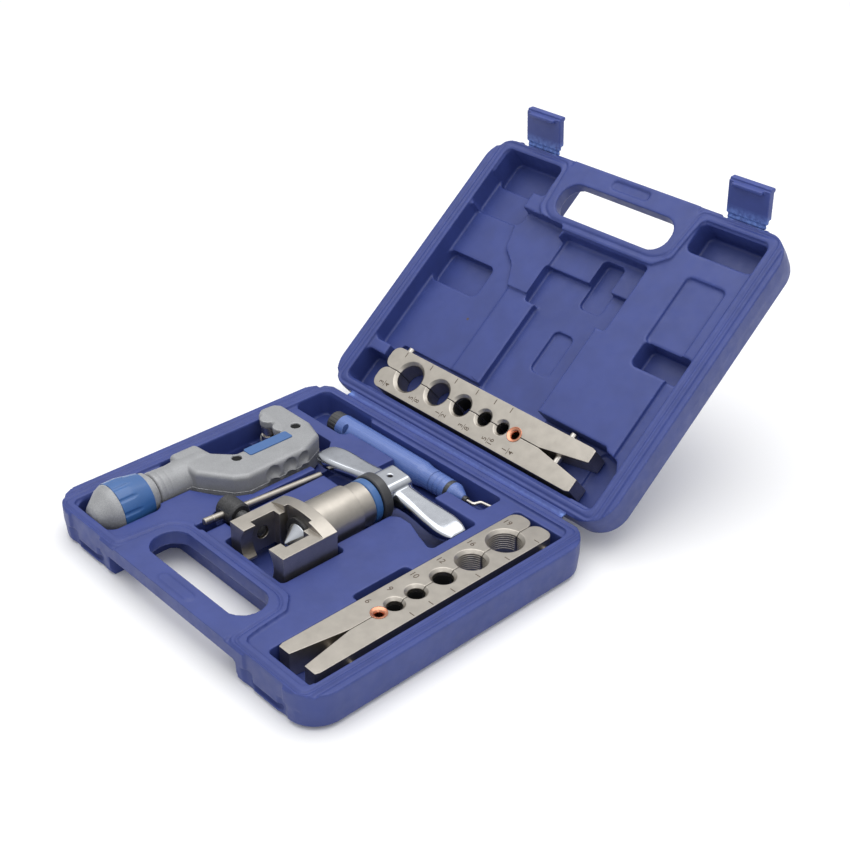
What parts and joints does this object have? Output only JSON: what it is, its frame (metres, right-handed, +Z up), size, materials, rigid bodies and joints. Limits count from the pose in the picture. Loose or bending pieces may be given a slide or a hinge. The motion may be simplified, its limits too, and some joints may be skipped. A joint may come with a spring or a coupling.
{
  "type": "flaring tool kit",
  "caption": "Hinged plastic case holding an eccentric flaring tool, a tube cutter, a deburring pen and split metric and inch flaring bars, lid open.",
  "frame": {"origin": "centre of the case base's underside", "axes": "+Z up from the bench, +X to the right seen from the carrying-handle side, +Y from the handle to the lid hinge"},
  "size_m": [0.244, 0.3876, 0.1824],
  "materials": {
    "case_blue": "satin blow-moulded royal blue",
    "latch_blue": "satin royal blue, whitened where it bends",
    "grip_blue": "glossy mid blue",
    "pen_blue": "glossy light blue",
    "cast_grey": "fine silver-grey enamel on a casting",
    "dark_steel": "black oxide",
    "roller_steel": "turned steel",
    "nickel": "satin champagne nickel",
    "chrome": "bright chrome",
    "black_plastic": "black",
    "copper": "bright copper"
  },
  "bodies": {
    "base": {"base_shell": "case_blue", "hinge_web_base": "case_blue"},
    "lid": {"lid_shell": "case_blue", "hinge_web_lid": "case_blue"},
    "latch_left": {"latch_left": "latch_blue"},
    "latch_right": {"latch_right": "latch_blue"},
    "cutter": {"cutter_frame": "cast_grey", "frame_plugs": "dark_steel", "cutter_inlay": "grip_blue", "roller_pins": "roller_steel"},
    "cutter_knob": {"cutter_cap": "cast_grey", "cutter_grip": "grip_blue", "cutter_collar": "cast_grey", "cutter_feed_sleeve": "roller_steel"},
    "cutter_carriage": {"cutter_carriage": "roller_steel", "wheel_pin": "roller_steel"},
    "cutting_wheel": {"cutting_wheel": "roller_steel"},
    "head_roller_left": {"head_roller_left": "roller_steel"},
    "head_roller_right": {"head_roller_right": "roller_steel"},
    "flare_tool": {"flare_yoke": "nickel"},
    "feed_spindle": {"feed_spindle": "dark_steel", "feed_ring_blue": "grip_blue", "feed_ring_black": "black_plastic", "feed_handle": "chrome", "handle_pin": "dark_steel", "cone_carrier": "dark_steel"},
    "flare_cone": {"flare_cone": "chrome"},
    "clamp_screw": {"clamp_screw": "dark_steel", "clamp_hub": "dark_steel", "clamp_pad": "dark_steel"},
    "tommy_bar": {"tommy_bar": "nickel"},
    "deburrer": {"deburr_body": "pen_blue", "deburr_band": "black_plastic", "deburr_nose": "pen_blue", "deburr_chuck": "dark_steel"},
    "deburr_cap": {"deburr_cap": "black_plastic"},
    "deburr_blade": {"deburr_blade": "roller_steel"},
    "metric_bar": {"metric_bar_fixed": "nickel", "metric_bar_pins": "roller_steel", "metric_copper_flare": "copper"},
    "metric_bar_loose": {"metric_bar_loose": "nickel"},
    "inch_bar": {"inch_bar_fixed": "nickel", "inch_bar_pins": "roller_steel", "inch_copper_flare": "copper"},
    "inch_bar_loose": {"inch_bar_loose": "nickel"}
  },
  "joints": [
    {"name": "lid_hinge", "type": "hinge", "parent": "base", "child": "lid", "pos_m": [0, 0.1065, 0.02415], "axis": [-1, 0, 0], "range_deg": [-140.6, 39.4]},
    {"name": "latch_left_hinge", "type": "hinge", "parent": "lid", "child": "latch_left", "pos_m": [-0.084, 0.27392, 0.15669], "axis": [-1, 0, 0], "range_deg": [-36, 70]},
    {"name": "latch_right_hinge", "type": "hinge", "parent": "lid", "child": "latch_right", "pos_m": [0.084, 0.27392, 0.15669], "axis": [-1, 0, 0], "range_deg": [-36, 70]},
    {"name": "cutter_lift", "type": "slide", "parent": "base", "child": "cutter", "axis": [0, 0, 1], "range_m": [0, 0.075]},
    {"name": "cutter_knob_turn", "type": "hinge", "parent": "cutter", "child": "cutter_knob", "pos_m": [-0.0895, -0.07, 0.021], "axis": [0, 1, 0], "range_deg": [0, 5760]},
    {"name": "cutter_feed", "type": "slide", "parent": "cutter", "child": "cutter_carriage", "axis": [0, 1, 0], "range_m": [0, 0.04]},
    {"name": "cutting_wheel_spin", "type": "hinge", "parent": "cutter_carriage", "child": "cutting_wheel", "pos_m": [-0.0895, -0.018, 0.021], "axis": [0, 0, 1], "continuous": true},
    {"name": "head_roller_left_spin", "type": "hinge", "parent": "cutter", "child": "head_roller_left", "pos_m": [-0.0961, 0.0385, 0.021], "axis": [0, 0, 1], "continuous": true},
    {"name": "head_roller_right_spin", "type": "hinge", "parent": "cutter", "child": "head_roller_right", "pos_m": [-0.0829, 0.0385, 0.021], "axis": [0, 0, 1], "continuous": true},
    {"name": "flare_tool_lift", "type": "slide", "parent": "base", "child": "flare_tool", "axis": [0, 0, 1], "range_m": [0, 0.075]},
    {"name": "feed_handle_turn", "type": "hinge", "parent": "flare_tool", "child": "feed_spindle", "pos_m": [0.0074, 0.0495, 0.024], "axis": [0, -1, 0], "range_deg": [-6, 18]},
    {"name": "flare_cone_spin", "type": "hinge", "parent": "feed_spindle", "child": "flare_cone", "pos_m": [0.0089, -0.02, 0.024], "axis": [0, 1, 0], "continuous": true},
    {"name": "clamp_screw_turn", "type": "hinge", "parent": "flare_tool", "child": "clamp_screw", "pos_m": [-0.0377, -0.033, 0.024], "axis": [1, 0, 0], "range_deg": [-6, 60]},
    {"name": "tommy_bar_slide", "type": "slide", "parent": "clamp_screw", "child": "tommy_bar", "axis": [0, 0.9976, -0.0698], "range_m": [-0.003, 0.005]},
    {"name": "deburrer_lift", "type": "slide", "parent": "base", "child": "deburrer", "axis": [0, 0, 1], "range_m": [0, 0.06]},
    {"name": "deburr_cap_turn", "type": "hinge", "parent": "deburrer", "child": "deburr_cap", "pos_m": [-0.08, 0.0844, 0.0153], "axis": [1, 0, 0], "continuous": true},
    {"name": "deburr_blade_swivel", "type": "hinge", "parent": "deburrer", "child": "deburr_blade", "pos_m": [0.037, 0.0844, 0.0153], "axis": [1, 0, 0], "continuous": true},
    {"name": "metric_bar_lift", "type": "slide", "parent": "base", "child": "metric_bar", "axis": [0, 0, 1], "range_m": [0, 0.06]},
    {"name": "metric_bar_open", "type": "slide", "parent": "metric_bar", "child": "metric_bar_loose", "axis": [1, 0, 0], "range_m": [0, 0.0038]},
    {"name": "inch_bar_lift", "type": "slide", "parent": "lid", "child": "inch_bar", "axis": [0, -0.6347, 0.7727], "range_m": [0, 0.06]},
    {"name": "inch_bar_open", "type": "slide", "parent": "inch_bar", "child": "inch_bar_loose", "axis": [0, 0.7727, 0.6347], "range_m": [0, 0.0038]}
  ],
  "couplings": [
    {"joint": "cutter_feed", "follows": "cutter_knob_turn", "m_per_rad": 0.00039789}
  ]
}
